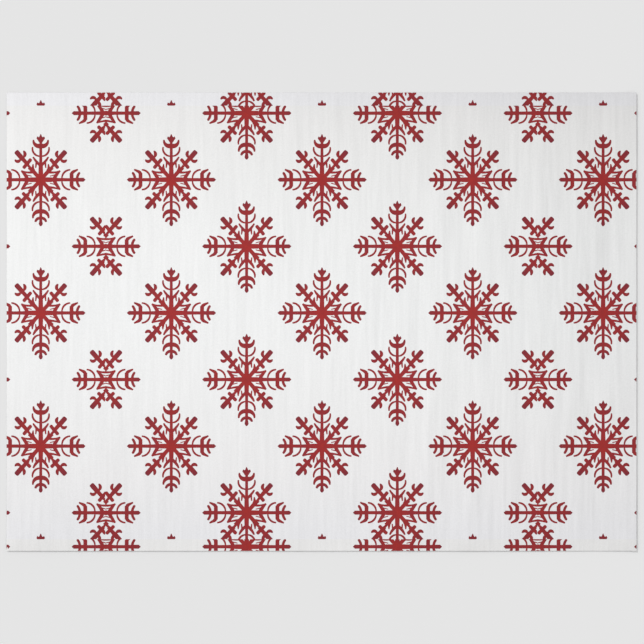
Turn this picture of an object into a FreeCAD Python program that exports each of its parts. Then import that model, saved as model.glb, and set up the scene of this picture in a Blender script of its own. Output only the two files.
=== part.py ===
import FreeCAD, Part
import math
import os

# One flat sheet of gift-wrapping tissue with a red snowflake print, in millimetres.
# X runs along the long side, Y along the short side, and +Z is the printed face.
# The origin is the centre of the underside.

# Paper: one rectangle with square corners.
sheet_length = 736.6
sheet_depth = 536.0
paper_thickness = 0.08
ink_thickness = 0.02

# Print: one artwork rectangle, repeated edge to edge and cut off by the edges of the sheet.
repeat_length = 505.0
repeat_depth = 507.0
repeat_centre = (-0.3, -0.9)

# Snowflakes stand in staggered columns and rows inside each repeat.
column_pitch = 176.2
row_pitch = 155.75
lattice_offset = (0.9, 11.1)
lattice_reach = 2

# Snowflake: one hub, an upright pair of arms, a sideways pair and four slanting arms.
hub_radius = 4.4
upper_reach = 53.0
lower_reach = 53.9
right_reach = 51.8
left_reach = 51.4
cross_bar_shift = 0.45
ink_spread = 0.45

# A trimmed snowflake with less ink than this, in square millimetres, is only the tip of an arm.
fragment_area = 60.0
touching_gap = 0.001


def vector(x, y):
    return FreeCAD.Vector(x, y, 0.0)


def upward(face):
    """The face turned so that its normal is +Z."""
    if face.normalAt(0.0, 0.0).z < 0.0:
        face.reverse()
    return face


def outline(points):
    """Face inside straight edges."""
    corners = [vector(*point) for point in points]
    return upward(Part.Face(Part.makePolygon(corners + corners[:1])))


def rectangle(low, high):
    """Face of an upright rectangle from its lowest to its highest corner."""
    return outline([low, (high[0], low[1]), high, (low[0], high[1])])


def disc(x, y, radius):
    return upward(Part.Face(Part.Wire(Part.makeCircle(radius, vector(x, y)))))


def bar(start, end, start_width, end_width):
    """Straight stroke that tapers from one end to the other."""
    length = math.dist(start, end)
    across = ((start[1] - end[1]) / length, (end[0] - start[0]) / length)
    corners = []
    for point, half in ((start, start_width / 2), (end, end_width / 2),
                        (end, -end_width / 2), (start, -start_width / 2)):
        corners.append((point[0] + across[0] * half, point[1] + across[1] * half))
    return outline(corners)


def rounded_bar(start, end, width, radius):
    """Straight stroke whose four corners have the stated radius."""
    length = math.dist(start, end)
    along = ((end[0] - start[0]) / length, (end[1] - start[1]) / length)

    def at(distance, offset):
        return (start[0] + along[0] * distance - along[1] * offset,
                start[1] + along[1] * distance + along[0] * offset)

    offset = width / 2 - radius
    strokes = [bar(at(radius, 0), at(length - radius, 0), width, width),
               bar(start, end, 2 * offset, 2 * offset)]
    for distance in (radius, length - radius):
        for side in (-1, 1):
            strokes.append(disc(*at(distance, side * offset), radius))
    return strokes


def blade(start, middle, end, widths):
    """Curved stroke between two arcs, with its widths at the start, middle and end."""
    spine = [vector(*start), vector(*middle), vector(*end)]
    centre = Part.Arc(*spine).toShape().Curve.Center
    outer = []
    inner = []
    for point, width in zip(spine, widths):
        outward = (point - centre).normalize() * (width / 2)
        outer.append(point + outward)
        inner.append(point - outward)
    edges = [
        Part.Arc(*outer).toShape(),
        Part.LineSegment(outer[2], inner[2]).toShape(),
        Part.Arc(*reversed(inner)).toShape(),
        Part.LineSegment(inner[0], outer[0]).toShape(),
    ]
    return upward(Part.Face(Part.Wire(edges)))


def with_mirror(points):
    """The points, followed by their mirror images about the Y axis in reverse order."""
    return points + [(-x, y) for x, y in reversed(points)]


def upper_arm():
    """Arm towards +Y: leaf tip, broad crescent, thin bow and a pair of barbs."""
    leaf = [(1.3, 49.9), (2.4, 49.2), (3.8, 50.1), (4.5, 48.3), (3.2, 46.6), (1.1, 43.4)]
    strokes = [
        bar((0, 0), (0, 17.5), 5.0, 4.0),
        bar((0, 17.0), (0, 44.5), 2.7, 2.2),
        outline([(0, upper_reach)] + with_mirror(leaf)),
    ]
    for side in (-1, 1):
        def at(x, y):
            return (side * x, y)
        strokes += [
            blade(at(0, 39.7), at(6.3, 40.9), at(8.5, 46.2), (4.8, 3.3, 1.0)),
            blade(at(1.5, 27.5), at(7.1, 30.0), at(9.6, 37.9), (0.8, 1.5, 0.8)),
            blade(at(1.0, 17.2), at(5.0, 21.1), at(8.8, 26.3), (2.6, 2.1, 1.0)),
            bar(at(5.2, 19.8), at(5.9, 14.2), 1.5, 0.5),
        ]
    return strokes


def lower_arm():
    """Arm towards -Y: slim bulb, anchor, broad crescent, thin bow and a pair of barbs."""
    bulb = [(1.1, -47.5), (1.9, -51.4), (1.3, -53.0), (0.3, -lower_reach)]
    strokes = [
        bar((0, 0), (0, -17.5), 5.0, 4.0),
        bar((0, -17.0), (0, -48.0), 2.6, 2.4),
        outline(with_mirror(bulb)),
    ]
    for side in (-1, 1):
        def at(x, y):
            return (side * x, y)
        strokes += [
            blade(at(0, -44.9), at(4.5, -46.2), at(6.2, -49.0), (2.5, 2.4, 1.6)),
            blade(at(0, -37.2), at(6.5, -38.7), at(9.2, -44.7), (4.2, 3.3, 1.0)),
            blade(at(1.5, -25.8), at(6.8, -28.1), at(9.6, -36.3), (0.8, 1.5, 0.8)),
            blade(at(1.0, -15.8), at(5.1, -19.7), at(8.7, -25.4), (2.6, 2.5, 1.0)),
            bar(at(5.3, -18.6), at(6.0, -13.4), 1.2, 0.5),
        ]
    return strokes


def side_arm(facing, reach):
    """Arm towards +X or -X: diamond tip, barbs, broad bracket, thin bow and two petals."""
    strokes = []
    for side, petal_height in ((-1, 11.3), (1, 10.3)):
        def at(x, y):
            return (facing * x, side * y)
        petal_tip = at(22.4, petal_height)
        strokes += [
            blade(at(42.4, 0), at(43.1, 4.5), at(44.8, 7.6), (2.2, 2.2, 2.0)),
            disc(*at(44.8, 7.6), 1.0),
            bar(at(36.0, 0), at(36.0, 7.5), 3.6, 3.6),
            outline([at(34.5, 7.2), at(35.7, 9.5), at(37.4, 10.6), at(42.9, 12.3),
                     at(43.3, 11.4), at(39.3, 8.6), at(37.9, 7.2)]),
            blade(at(24.8, 1.0), at(27.0, 8.0), at(34.1, 11.6), (0.6, 1.4, 0.9)),
            blade(at(15.4, 0.6), at(18.4, 5.8), petal_tip, (3.2, 3.0, 1.2)),
            blade(at(9.2, 8.8), at(15.8, petal_height - 1.8), petal_tip, (2.0, 1.4, 0.8)),
            bar(at(11.0, 4.2), at(18.2, 6.0), 0.2, 0.4),
        ]
    shoulder = facing * (reach - 1.9)
    diamond = [(facing * reach, 0), (shoulder, 1.8), (facing * 46.0, 0), (shoulder, -1.8)]
    return strokes + [
        bar((0, 0), (facing * 13.0, 0), 5.0, 4.6),
        bar((facing * 13.0, 0), (facing * 20.0, 0), 4.0, 3.4),
        bar((facing * 20.0, 0), (facing * 40.0, 0), 3.2, 2.7),
        bar((facing * 38.0, 0), (facing * (reach - 2.0), 0), 3.4, 3.8),
        outline(diamond),
    ]


def slanting_arm(facing, side):
    """One of the four slanting arms: stem with a fleur, cross bar, thick bar and two leaves."""
    shift = -side * cross_bar_shift

    def at(x, y):
        return (facing * x, side * y)

    stem = [
        bar(at(0, 0), at(9.4, 10.6), 3.4, 3.9),
        disc(*at(9.7, 11.0), 2.5),
        bar(at(9.4, 10.6), at(16.0, 18.2), 2.0, 2.2),
        bar(at(14.9, 17.3), at(23.0, 26.6), 3.5, 3.9),
    ]
    fleur = [
        bar(at(9.6, 11.2), at(9.4 + shift, 18.4 + shift), 3.5, 0.5),
        bar(at(10.4, 11.0), at(14.4, 13.1), 3.4, 0.5),
    ]
    leaves = [
        blade(at(20.1 + shift, 26.8), at(18.9 + shift, 29.4), at(20.1, 33.4), (1.6, 2.9, 0.8)),
        blade(at(24.2, 23.2), at(26.6, 21.4), at(30.0, 23.2), (1.6, 2.9, 0.8)),
    ]
    cross_bar = rounded_bar(at(11.8 + shift, 24.3 + shift / 2),
                            at(20.7 + shift, 14.5 + 2 * shift), 3.2, 1.2)
    thick_bar = rounded_bar(at(20.6, 23.6), at(29.0, 33.2), 4.9, 1.4)
    return stem + fleur + leaves + cross_bar + thick_bar


def spread(stroke):
    """A stroke grown on all sides by the ink's spread into the paper."""
    return upward(stroke.makeOffset2D(ink_spread).Faces[0])


def snowflake_face():
    """The whole snowflake as one flat face with its hub at the origin."""
    strokes = upper_arm() + lower_arm() + side_arm(1, right_reach) + side_arm(-1, left_reach)
    for facing in (-1, 1):
        for side in (-1, 1):
            strokes += slanting_arm(facing, side)
    grown = [spread(stroke) for stroke in strokes]
    return upward(disc(0, 0, hub_radius).multiFuse(grown).removeSplitter().Faces[0])


def repeat_window(across, up):
    """The part of one repeat of the artwork that lies on the sheet, as its two corners."""
    low = []
    high = []
    for centre, step, size, sheet_size in (
            (repeat_centre[0], across, repeat_length, sheet_length),
            (repeat_centre[1], up, repeat_depth, sheet_depth)):
        middle = centre + step * size
        low.append(max(middle - size / 2, -sheet_size / 2))
        high.append(min(middle + size / 2, sheet_size / 2))
    return tuple(low), tuple(high)


def snowflake_centres(across, up):
    """Centres of the snowflakes of one repeat, its own trimmed ones included."""
    origin_x = repeat_centre[0] + across * repeat_length + lattice_offset[0]
    origin_y = repeat_centre[1] + up * repeat_depth + lattice_offset[1]
    reach = range(-2 * lattice_reach, 2 * lattice_reach + 1)
    for column in reach:
        for row in reach:
            if (column + row) % 2 == 0:
                yield origin_x + column * column_pitch / 2, origin_y + row * row_pitch / 2


def placed(face, x, y):
    copy = face.copy()
    copy.translate(vector(x, y))
    return copy


def printed_faces(flake):
    """Whole snowflakes, and the trimmed ones of every repeat that reaches the sheet."""
    whole = []
    trimmed = []
    for across in (-1, 0, 1):
        for up in (-1, 0, 1):
            low, high = repeat_window(across, up)
            window = rectangle(low, high)
            for x, y in snowflake_centres(across, up):
                face = placed(flake, x, y)
                box = face.BoundBox
                inside = (box.XMin >= low[0] and box.XMax <= high[0]
                          and box.YMin >= low[1] and box.YMax <= high[1])
                apart = (box.XMin >= high[0] or box.XMax <= low[0]
                         or box.YMin >= high[1] or box.YMax <= low[1])
                if inside:
                    whole.append(face)
                elif not apart:
                    trimmed += face.common(window).Faces
    return whole, trimmed


def meets(face, other):
    """True where two faces touch, as the halves of a snowflake do along a seam of the repeat."""
    box = face.BoundBox
    box.enlarge(touching_gap)
    return box.intersect(other.BoundBox) and face.distToShape(other)[0] < touching_gap


def islands(faces):
    """The faces, with those that meet joined into one."""
    separate = []
    for face in faces:
        apart = []
        neighbours = []
        for other in separate:
            group = neighbours if meets(face, other) else apart
            group.append(other)
        if neighbours:
            face = face.multiFuse(neighbours).removeSplitter().Faces[0]
        separate = apart + [face]
    return separate


def group_of(face):
    """Name of the group that one trimmed island of ink belongs to."""
    if face.Area < fragment_area:
        return "arm_tip_fragments"
    middle = face.BoundBox.Center
    if abs(middle.y) > 1.25 * row_pitch:
        return "top_row_snowflakes" if middle.y > 0.0 else "bottom_row_snowflakes"
    if abs(abs(middle.x) - repeat_length / 2) < column_pitch / 8:
        return "seam_snowflakes"
    return "side_edge_snowflakes"


def ink_groups():
    """Ink faces by group."""
    whole, trimmed = printed_faces(snowflake_face())
    groups = {"whole_snowflakes": whole}
    for face in islands(trimmed):
        groups.setdefault(group_of(face), []).append(face)
    return groups


def write(name, shape):
    shape.exportStep(os.path.join("parts", name + ".step"))
    print(name, len(shape.Solids), "solids", round(shape.Volume, 2), "mm3", shape.isValid())


def main():
    os.makedirs("parts", exist_ok=True)
    corner = FreeCAD.Vector(-sheet_length / 2, -sheet_depth / 2, 0.0)
    write("paper_sheet", Part.makeBox(sheet_length, sheet_depth, paper_thickness, corner))
    lift = FreeCAD.Vector(0.0, 0.0, paper_thickness)
    for name, faces in ink_groups().items():
        solids = []
        for face in faces:
            for solid in upward(face).extrude(FreeCAD.Vector(0.0, 0.0, ink_thickness)).Solids:
                solid.translate(lift)
                solids.append(solid)
        write(name, Part.Compound(solids))


main()
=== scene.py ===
"""Looks of the printed gift tissue sheet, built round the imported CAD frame, in metres.

The tissue lies open on a pale floor with a faint cockle, and the red print is a thin film that
follows it. X runs along the sheet's long side, Y along its short side and Z upwards.
"""

import math

import bmesh
import bpy
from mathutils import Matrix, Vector, noise


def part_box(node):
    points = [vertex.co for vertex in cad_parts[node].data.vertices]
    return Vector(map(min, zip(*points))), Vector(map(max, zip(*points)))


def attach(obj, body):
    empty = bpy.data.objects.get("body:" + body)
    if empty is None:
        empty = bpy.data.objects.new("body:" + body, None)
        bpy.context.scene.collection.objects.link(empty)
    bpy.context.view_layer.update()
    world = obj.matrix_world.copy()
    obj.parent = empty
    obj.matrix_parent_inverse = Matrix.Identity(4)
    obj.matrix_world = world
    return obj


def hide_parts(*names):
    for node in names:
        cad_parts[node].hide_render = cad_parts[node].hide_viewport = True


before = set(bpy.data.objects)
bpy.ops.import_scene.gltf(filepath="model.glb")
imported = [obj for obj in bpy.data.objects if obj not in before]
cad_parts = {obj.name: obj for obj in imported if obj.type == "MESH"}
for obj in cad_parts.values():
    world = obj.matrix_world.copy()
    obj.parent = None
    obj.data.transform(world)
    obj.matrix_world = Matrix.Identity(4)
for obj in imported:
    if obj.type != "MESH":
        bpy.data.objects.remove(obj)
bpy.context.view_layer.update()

MM = 0.001

# The flat sheet as the CAD has it, and the grid that its shown mesh is made on.
PAPER_LOW, PAPER_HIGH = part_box("paper_sheet")
WIDTH = PAPER_HIGH.x - PAPER_LOW.x
DEPTH = PAPER_HIGH.y - PAPER_LOW.y
PAPER_THICKNESS = PAPER_HIGH.z - PAPER_LOW.z
COLUMNS = 368
ROWS = 108

# The cockle: each streak has its height, size across, size along and layer of the noise, and so
# has the swell, which is the same from left to right. The streaks are LOOSE_LEFT strong at the
# left edge and grow by LOOSE_GAIN towards the right. The sheet lies MEAN_LIFT up on average and
# settles on to the floor near its edges.
STREAKS = (
    (0.19 * MM, 5 * MM, 60 * MM, 3.7),
    (0.30 * MM, 11 * MM, 85 * MM, 11.2),
    (1.2 * MM, 34 * MM, 190 * MM, 23.9),
)
SWELL = (1.6 * MM, 160 * MM, 260 * MM, 41.3)
LOOSE_LEFT = 0.8
LOOSE_GAIN = 1.1
MEAN_LIFT = 1.8 * MM
SETTLE = 0.92
SETTLE_REACH = 12 * MM

# The curl of the right edge (side) and of the bottom edge (end), which fades near the right.
SIDE_LIFT = 1.9 * MM
SIDE_REACH = 9 * MM
SIDE_UNEVEN = 0.25
SIDE_WAVE = 120 * MM
SIDE_LAYER = 52.1
END_LIFT = 1.2 * MM
END_REACH = 8 * MM
END_FADE = 0.3
END_FADE_FROM = 0.82
END_FADE_SPAN = 0.1

# The print's repeat and its staggered lattice, as in part.py, and how long a snowflake's arms are.
REPEAT_LENGTH = 505.0 * MM
REPEAT_DEPTH = 507.0 * MM
REPEAT_CENTRE_X = -0.3 * MM
REPEAT_CENTRE_Y = -0.9 * MM
COLUMN_PITCH = 176.2 * MM
ROW_PITCH = 155.75 * MM
LATTICE_OFFSET_X = 0.9 * MM
LATTICE_OFFSET_Y = 11.1 * MM
STRAIGHT_REACH = 54.0 * MM
SLANTING_REACH = 43.0 * MM
SLANT_FROM = 12 * MM
SLANT_SPAN = 8 * MM

# The ink film lies across the paper's upper face, partly in it and partly proud of it.
INK_SUNK = 0.035 * MM
INK_PROUD = 0.045 * MM
INK_NODES = (
    "whole_snowflakes",
    "side_edge_snowflakes",
    "seam_snowflakes",
    "top_row_snowflakes",
    "bottom_row_snowflakes",
    "arm_tip_fragments",
)

# How close points are to be joined or cut through, and the angles that count as flat and sharp.
WELD = 1e-6
CUT_SNAP = 1e-7
FLAT_ANGLE = math.radians(1)
SHARP_ANGLE = math.radians(40)

# How bright the sky and the sun each make a level white surface, and how bright both make the
# floor in the picture.
SKY = 0.60
SUN = 0.22
SUN_TILT = math.radians(48)
SUN_AZIMUTH = math.radians(128)
SUN_SPREAD = math.radians(18)
FLOOR_TONE = 0.7855
FLOOR_ALBEDO = FLOOR_TONE / (SKY + SUN)
FLOOR_RADIUS = 60.0
FLOOR_SIDES = 96
FLOOR_GAP = 0.01 * MM

# The long narrow lamp that hangs low over the sheet and reaches out past its left edge.
POOL_PLACE = (-0.82, 0.121, 0.449)
POOL_LENGTH = 2.29
POOL_WIDTH = 0.02
POOL_TURN = -0.132
POOL_POWER = 0.214 * math.pi**2

# The camera looks straight down. VIEW_SPAN is how much of the floor the picture shows across.
CAMERA_X = 0.64 * MM
CAMERA_Y = -0.41 * MM
CAMERA_HEIGHT = 4.0
CAMERA_SENSOR = 36.0
CAMERA_FAR = 100.0
VIEW_SPAN = 0.7534


def add_object(name, data):
    """A new object in the scene."""
    thing = bpy.data.objects.new(name, data)
    bpy.context.scene.collection.objects.link(thing)
    return thing


# ---------------------------------------------------------------- the sheet's lie

def smooth(value):
    """A smooth step from 0 to 1."""
    t = min(1.0, max(0.0, value))
    return t * t * (3.0 - 2.0 * t)


def streaks(x, y, wide, tall, layer):
    """Noise that runs in streaks along Y, wide across and tall along, in metres."""
    return noise.noise(Vector((x / wide, y / tall, layer)))


def cockle(x, y):
    """The sheet's height over the surface it lies on, before its lowest point is set to touch."""
    from_left = x - PAPER_LOW.x
    from_right = PAPER_HIGH.x - x
    from_bottom = y - PAPER_LOW.y
    from_top = PAPER_HIGH.y - y
    loose = LOOSE_LEFT + LOOSE_GAIN * smooth(from_left / WIDTH)
    height = 0.0
    for lift, *pattern in STREAKS:
        height += lift * loose * streaks(x, y, *pattern)
    lift, *pattern = SWELL
    height += lift * streaks(x, y, *pattern)
    nearest = min(from_left, from_right, from_bottom, from_top)
    height = (height + MEAN_LIFT) * (1.0 - SETTLE * math.exp(-nearest / SETTLE_REACH))
    side_curl = 1.0 + SIDE_UNEVEN * streaks(0.0, y, 1.0, SIDE_WAVE, SIDE_LAYER)
    side_curl *= SIDE_LIFT * math.exp(-from_right / SIDE_REACH)
    end_curl = 1.0 - END_FADE * smooth((from_left / WIDTH - END_FADE_FROM) / END_FADE_SPAN)
    end_curl *= END_LIFT * math.exp(-from_bottom / END_REACH)
    return height + math.hypot(side_curl, end_curl)


COLUMN_X = [PAPER_LOW.x + WIDTH * i / COLUMNS for i in range(COLUMNS + 1)]
ROW_Y = [PAPER_LOW.y + DEPTH * j / ROWS for j in range(ROWS + 1)]
GRID = [[cockle(x, y) for x in COLUMN_X] for y in ROW_Y]
LOWEST = min(min(row) for row in GRID)


def lie(x, y):
    """The height of the sheet's underside at a point, as its grid of flat triangles has it."""
    across = min(max((x - PAPER_LOW.x) / WIDTH * COLUMNS, 0.0), COLUMNS - 1e-6)
    along = min(max((y - PAPER_LOW.y) / DEPTH * ROWS, 0.0), ROWS - 1e-6)
    i, j = int(across), int(along)
    s, t = across - i, along - j
    corner, right, far, up = GRID[j][i], GRID[j][i + 1], GRID[j + 1][i + 1], GRID[j + 1][i]
    if s >= t:
        height = corner + s * (right - corner) + t * (far - right)
    else:
        height = corner + t * (up - corner) + s * (far - up)
    return height - LOWEST


def finished(mesh, name):
    """A shown object from a mesh, smooth on its broad faces and sharp at its rim."""
    mesh.shade_smooth()
    mesh.set_sharp_from_angle(angle=SHARP_ANGLE)
    return add_object(name, mesh)


def tissue_sheet():
    """The sheet as one closed thin mesh that follows its lie."""
    stride = COLUMNS + 1
    layer = stride * (ROWS + 1)
    points = []
    for thickness in (0.0, PAPER_THICKNESS):
        for j, y in enumerate(ROW_Y):
            for i, x in enumerate(COLUMN_X):
                points.append((x, y, GRID[j][i] - LOWEST + thickness))
    faces = []
    for j in range(ROWS):
        for i in range(COLUMNS):
            a = j * stride + i
            b, c, d = a + 1, a + 1 + stride, a + stride
            faces.append((a + layer, b + layer, c + layer))
            faces.append((a + layer, c + layer, d + layer))
            faces.append((a, c, b))
            faces.append((a, d, c))
    rim = list(range(stride))
    rim += [j * stride + COLUMNS for j in range(1, ROWS + 1)]
    rim += [ROWS * stride + i for i in range(COLUMNS - 1, -1, -1)]
    rim += [j * stride for j in range(ROWS - 1, 0, -1)]
    for a, b in zip(rim, rim[1:] + rim[:1]):
        faces.append((a, b, b + layer, a + layer))
    mesh = bpy.data.meshes.new("tissue")
    mesh.from_pydata(points, [], faces)
    return finished(mesh, "tissue_sheet")


# ---------------------------------------------------------------- the print

def reach_of(x, y):
    """How far out along its snowflake's arm a point is: 0 at the hub and 1 at a tip."""
    across_turn = round((x - REPEAT_CENTRE_X) / REPEAT_LENGTH)
    along_turn = round((y - REPEAT_CENTRE_Y) / REPEAT_DEPTH)
    origin_x = REPEAT_CENTRE_X + across_turn * REPEAT_LENGTH + LATTICE_OFFSET_X
    origin_y = REPEAT_CENTRE_Y + along_turn * REPEAT_DEPTH + LATTICE_OFFSET_Y
    column = math.floor((x - origin_x) / (COLUMN_PITCH / 2))
    row = math.floor((y - origin_y) / (ROW_PITCH / 2))
    found = 1.0
    for i, j in ((column, row), (column + 1, row), (column, row + 1), (column + 1, row + 1)):
        if (i + j) % 2 == 0:
            across = abs(x - origin_x - i * COLUMN_PITCH / 2)
            along = abs(y - origin_y - j * ROW_PITCH / 2)
            slant = smooth((min(across, along) - SLANT_FROM) / SLANT_SPAN)
            whole = STRAIGHT_REACH + slant * (SLANTING_REACH - STRAIGHT_REACH)
            found = min(found, math.hypot(across, along) / whole)
    return found


def cut_on_grid(flat, faces, axis, places):
    """Cuts flat faces at every place along an axis, the middle one first and then each half."""
    if not faces or not places:
        return
    half = len(places) // 2
    point, across = Vector(), Vector()
    point[axis] = places[half]
    across[axis] = 1.0
    edges = {e for f in faces for e in f.edges}
    verts = {v for f in faces for v in f.verts}
    parts = bmesh.ops.bisect_plane(
        flat, geom=[*verts, *edges, *faces], dist=CUT_SNAP, plane_co=point, plane_no=across
    )
    faces = [g for g in parts["geom"] if isinstance(g, bmesh.types.BMFace)]
    low = [f for f in faces if f.calc_center_bounds()[axis] < places[half]]
    high = [f for f in faces if f.calc_center_bounds()[axis] >= places[half]]
    cut_on_grid(flat, low, axis, places[:half])
    cut_on_grid(flat, high, axis, places[half + 1 :])


def ink_film(node):
    """The printed shapes of a CAD node as a closed film that follows the cockled sheet."""
    flat = bmesh.new()
    flat.from_mesh(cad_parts[node].data)
    bmesh.ops.remove_doubles(flat, verts=flat.verts, dist=WELD)
    low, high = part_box(node)
    middle = (low.z + high.z) / 2
    under = [f for f in flat.faces if min(v.co.z for v in f.verts) < middle]
    bmesh.ops.delete(flat, geom=under, context="FACES")
    edges = [e for e in flat.edges if len(e.link_faces) == 2]
    bmesh.ops.dissolve_limit(flat, angle_limit=FLAT_ANGLE, verts=[], edges=edges)
    cut_on_grid(flat, flat.faces[:], 0, [x for x in COLUMN_X if low.x < x < high.x])
    cut_on_grid(flat, flat.faces[:], 1, [y for y in ROW_Y if low.y < y < high.y])
    bmesh.ops.triangulate(flat, faces=flat.faces)
    flat.verts.ensure_lookup_table()
    flat.verts.index_update()
    count = len(flat.verts)
    heights = [lie(v.co.x, v.co.y) + PAPER_THICKNESS for v in flat.verts]
    reaches = [reach_of(v.co.x, v.co.y) for v in flat.verts]
    points = [(v.co.x, v.co.y, h - INK_SUNK) for v, h in zip(flat.verts, heights)]
    points += [(v.co.x, v.co.y, h + INK_PROUD) for v, h in zip(flat.verts, heights)]
    faces = []
    for face in flat.faces:
        ring = [v.index for v in face.verts]
        if face.normal.z < 0:
            ring.reverse()
        faces.append([i + count for i in ring])
        faces.append(ring[::-1])
        for a, b in zip(ring, ring[1:] + ring[:1]):
            if len(flat.edges.get((flat.verts[a], flat.verts[b])).link_faces) == 1:
                faces.append([a, b, b + count, a + count])
    flat.free()
    name = node + "_ink"
    mesh = bpy.data.meshes.new(name)
    mesh.from_pydata(points, [], faces)
    attribute = mesh.attributes.new("reach", "FLOAT", "POINT")
    attribute.data.foreach_set("value", reaches + reaches)
    return finished(mesh, name)


# ---------------------------------------------------------------- materials

EVEN = (1.0, 1.0, 1.0)

# The colour sockets of a Mix node, which share their names with its number sockets.
MIX_A = 6
MIX_B = 7
MIX_RESULT = 2


class Nodes:
    """A material's node tree, with short calls to add and link its nodes."""

    def __init__(self, name):
        self.material = bpy.data.materials.new(name)
        self.material.use_nodes = True
        self.tree = self.material.node_tree
        self.shader = self.tree.nodes["Principled BSDF"]

    def add(self, kind, inputs=None, **settings):
        """A new node with its settings, and with a value or a link on each named input."""
        node = self.tree.nodes.new(kind)
        for key, value in settings.items():
            setattr(node, key, value)
        for key, value in (inputs or {}).items():
            if isinstance(value, bpy.types.NodeSocket):
                self.tree.links.new(value, node.inputs[key])
            else:
                node.inputs[key].default_value = value
        return node

    def link(self, key, value):
        """Links an output to one of the shader's sockets."""
        self.tree.links.new(value, self.shader.inputs[key])

    def set(self, key, value):
        """Sets one of the shader's sockets to a value that is the same all over."""
        self.shader.inputs[key].default_value = value

    def place(self):
        """Where a point is on the object, in metres."""
        return self.add("ShaderNodeTexCoord").outputs["Object"]

    def noise(self, place, size, scale=EVEN, detail=3.0, roughness=0.55):
        """Noise over a place stretched by scale, in features about size metres across."""
        stretched = self.add("ShaderNodeMapping", {"Vector": place, "Scale": scale})
        inputs = {"Vector": stretched.outputs["Vector"], "Scale": 1.0 / size}
        inputs.update({"Detail": detail, "Roughness": roughness})
        return self.add("ShaderNodeTexNoise", inputs).outputs["Fac"]

    def math(self, operation, a, b=0.0):
        """The result of a Math node."""
        return self.add("ShaderNodeMath", {0: a, 1: b}, operation=operation).outputs["Value"]

    def ramp(self, value, stops):
        """A colour for a value, by stops of (position, (r, g, b))."""
        node = self.add("ShaderNodeValToRGB", {"Fac": value})
        elements = node.color_ramp.elements
        while len(elements) < len(stops):
            elements.new(0.5)
        for element, (position, colour) in zip(elements, stops):
            element.position = position
            element.color = (*colour, 1.0)
        return node.outputs["Color"]

    def tone(self, value, dark, light):
        """A grey from dark to light over the middle of a noise's values."""
        return self.ramp(value, [(0.3, (dark,) * 3), (0.7, (light,) * 3)])

    def multiply(self, colour, tint, share=1.0):
        """A colour multiplied by a tint, or by only a share of it."""
        inputs = {"Factor": share, MIX_A: colour, MIX_B: tint}
        node = self.add("ShaderNodeMix", inputs, data_type="RGBA", blend_type="MULTIPLY")
        return node.outputs[MIX_RESULT]

    def bump(self, height, strength, distance):
        """Bends the surface's normal by a height, for relief too fine for the mesh."""
        inputs = {"Strength": strength, "Distance": distance, "Height": height}
        self.link("Normal", self.add("ShaderNodeBump", inputs).outputs["Normal"])


def tissue_material():
    """White tissue: fibre mottle, streaks along the short side, the print base's tint, and painted
    shade at the top end.
    """
    nodes = Nodes("tissue_paper")
    place = nodes.place()
    fibre = nodes.noise(place, 1.6 * MM, detail=4.0, roughness=0.7)
    streak = nodes.noise(place, 3.8 * MM, (1.0, 0.06, 1.0))
    cloud = nodes.noise(place, 22 * MM, (1.0, 0.35, 1.0), detail=2.0)
    axes = nodes.add("ShaderNodeSeparateXYZ", {"Vector": place})
    # The tint runs from one level seam of the print to the next, at 0 and at 1.
    seam = REPEAT_CENTRE_Y - REPEAT_DEPTH / 2
    turns = nodes.math("DIVIDE", nodes.math("SUBTRACT", axes.outputs["Y"], seam), REPEAT_DEPTH)
    colour = nodes.ramp(
        nodes.math("FRACT", turns),
        [
            (0.0, (0.838, 0.836, 0.858)),
            (0.08, (0.840, 0.836, 0.845)),
            (0.15, (0.844, 0.836, 0.840)),
            (0.28, (0.837, 0.836, 0.836)),
            (0.5, (0.831, 0.836, 0.835)),
            (0.75, (0.833, 0.836, 0.833)),
            (0.9, (0.838, 0.836, 0.830)),
            (0.97, (0.842, 0.836, 0.831)),
        ],
    )
    colour = nodes.multiply(colour, nodes.tone(fibre, 0.93, 1.01))
    colour = nodes.multiply(colour, nodes.tone(streak, 0.955, 1.005))
    colour = nodes.multiply(colour, nodes.tone(cloud, 0.985, 1.0))
    # Painted shade: the top end is darker over its last 100 mm, not at all on the left and fully
    # on the right.
    from_top = nodes.math("SUBTRACT", PAPER_HIGH.y, axes.outputs["Y"])
    painted_end_shade = nodes.ramp(
        nodes.math("DIVIDE", from_top, 100 * MM),
        [(0.0, (0.91,) * 3), (0.2, (0.951,) * 3), (0.45, (0.977,) * 3), (1.0, EVEN)],
    )
    from_left = nodes.math("SUBTRACT", axes.outputs["X"], PAPER_LOW.x)
    colour = nodes.multiply(colour, painted_end_shade, nodes.math("DIVIDE", from_left, WIDTH))
    nodes.link("Base Color", colour)
    nodes.link("Roughness", nodes.tone(streak, 0.66, 0.8))
    relief = nodes.math("ADD", streak, nodes.math("MULTIPLY", fibre, 0.2))
    nodes.bump(relief, 0.6, 0.65 * MM)
    nodes.set("Specular IOR Level", 0.3)
    return nodes.material


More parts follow.
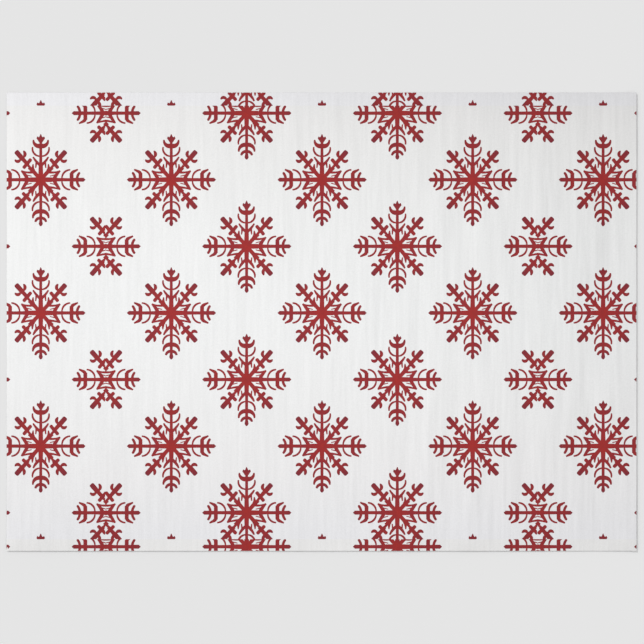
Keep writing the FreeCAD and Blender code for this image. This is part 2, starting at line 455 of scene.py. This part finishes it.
def ink_material():
    """Red ink soaked into the tissue: brighter at the hubs and maroon at the arms' ends."""
    nodes = Nodes("red_ink_print")
    place = nodes.place()
    reach = nodes.add("ShaderNodeAttribute", attribute_name="reach", attribute_type="GEOMETRY")
    blotch = nodes.noise(place, 4.5 * MM, detail=2.0)
    grain = nodes.noise(place, 0.9 * MM, detail=4.0, roughness=0.7)
    wander = nodes.math("MULTIPLY", nodes.math("SUBTRACT", blotch, 0.5), 0.35)
    colour = nodes.ramp(
        nodes.math("ADD", reach.outputs["Fac"], wander),
        [
            (0.0, (0.336, 0.027, 0.024)),
            (0.12, (0.325, 0.027, 0.027)),
            (0.35, (0.290, 0.027, 0.031)),
            (0.8, (0.278, 0.027, 0.030)),
            (0.97, (0.214, 0.026, 0.035)),
        ],
    )
    warmth = nodes.ramp(blotch, [(0.35, (0.92, 0.98, 1.1)), (0.65, (1.1, 1.0, 0.9))])
    colour = nodes.multiply(colour, warmth)
    colour = nodes.multiply(colour, nodes.tone(grain, 0.86, 1.08))
    nodes.link("Base Color", colour)
    nodes.link("Roughness", nodes.tone(grain, 0.55, 0.72))
    nodes.bump(grain, 0.4, 0.05 * MM)
    nodes.set("Specular IOR Level", 0.15)
    return nodes.material


def floor_material():
    """A matt pale floor, all but even."""
    nodes = Nodes("pale_floor")
    drift = nodes.noise(nodes.place(), 0.4, detail=1.0)
    nodes.link("Base Color", nodes.tone(drift, FLOOR_ALBEDO * 0.998, FLOOR_ALBEDO))
    nodes.set("Roughness", 0.9)
    nodes.set("Specular IOR Level", 0.0)
    return nodes.material


# ---------------------------------------------------------------- floor, lights and camera

def pale_floor():
    """A wide round floor, just under the sheet's lowest point."""
    disc = bmesh.new()
    bmesh.ops.create_circle(disc, cap_ends=True, segments=FLOOR_SIDES, radius=FLOOR_RADIUS)
    mesh = bpy.data.meshes.new("floor")
    disc.to_mesh(mesh)
    disc.free()
    floor = add_object("floor", mesh)
    floor.location.z = -FLOOR_GAP
    mesh.materials.append(floor_material())
    return floor


def sky():
    """An even white sky."""
    world = bpy.data.worlds.new("studio")
    bpy.context.scene.world = world
    world.use_nodes = True
    background = world.node_tree.nodes["Background"]
    background.inputs["Color"].default_value = (1.0, 1.0, 1.0, 1.0)
    background.inputs["Strength"].default_value = SKY


def sun():
    """A soft sun from the upper left, which lights a level surface by its share."""
    light = bpy.data.lights.new("sun", "SUN")
    light.energy = SUN * math.pi / math.cos(SUN_TILT)
    light.angle = SUN_SPREAD
    level = math.sin(SUN_TILT)
    towards = Vector(
        (level * math.cos(SUN_AZIMUTH), level * math.sin(SUN_AZIMUTH), math.cos(SUN_TILT))
    )
    lamp = add_object("sun", light)
    lamp.rotation_euler = towards.to_track_quat("Z", "Y").to_euler()


def pool(pieces):
    """A long low lamp whose light falls on the sheet only, so that the floor stays even."""
    light = bpy.data.lights.new("pool", "AREA")
    light.shape = "RECTANGLE"
    light.size = POOL_LENGTH
    light.size_y = POOL_WIDTH
    light.energy = POOL_POWER
    lamp = add_object("pool", light)
    lamp.location = POOL_PLACE
    lamp.rotation_euler = (0.0, 0.0, POOL_TURN)
    lamp.visible_camera = False
    lit = bpy.data.collections.new("lit_by_pool")
    for piece in pieces:
        lit.objects.link(piece)
    lamp.light_linking.receiver_collection = lit


def camera():
    """The photograph's view, from straight above."""
    data = bpy.data.cameras.new("camera")
    data.sensor_width = CAMERA_SENSOR
    data.lens = CAMERA_SENSOR * CAMERA_HEIGHT / VIEW_SPAN
    data.clip_end = CAMERA_FAR
    eye = add_object("camera", data)
    eye.location = (CAMERA_X, CAMERA_Y, CAMERA_HEIGHT)
    bpy.context.scene.camera = eye


# ---------------------------------------------------------------- the scene

tissue = tissue_material()
red_ink = ink_material()

sheet = tissue_sheet()
sheet.data.materials.append(tissue)
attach(sheet, "root")
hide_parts("paper_sheet")

prints = []
for node in INK_NODES:
    film = ink_film(node)
    film.data.materials.append(red_ink)
    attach(film, "root")
    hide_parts(node)
    prints.append(film)

floor = pale_floor()
sky()
sun()
pool([sheet] + prints)
camera()
bpy.context.scene.view_settings.view_transform = "Standard"
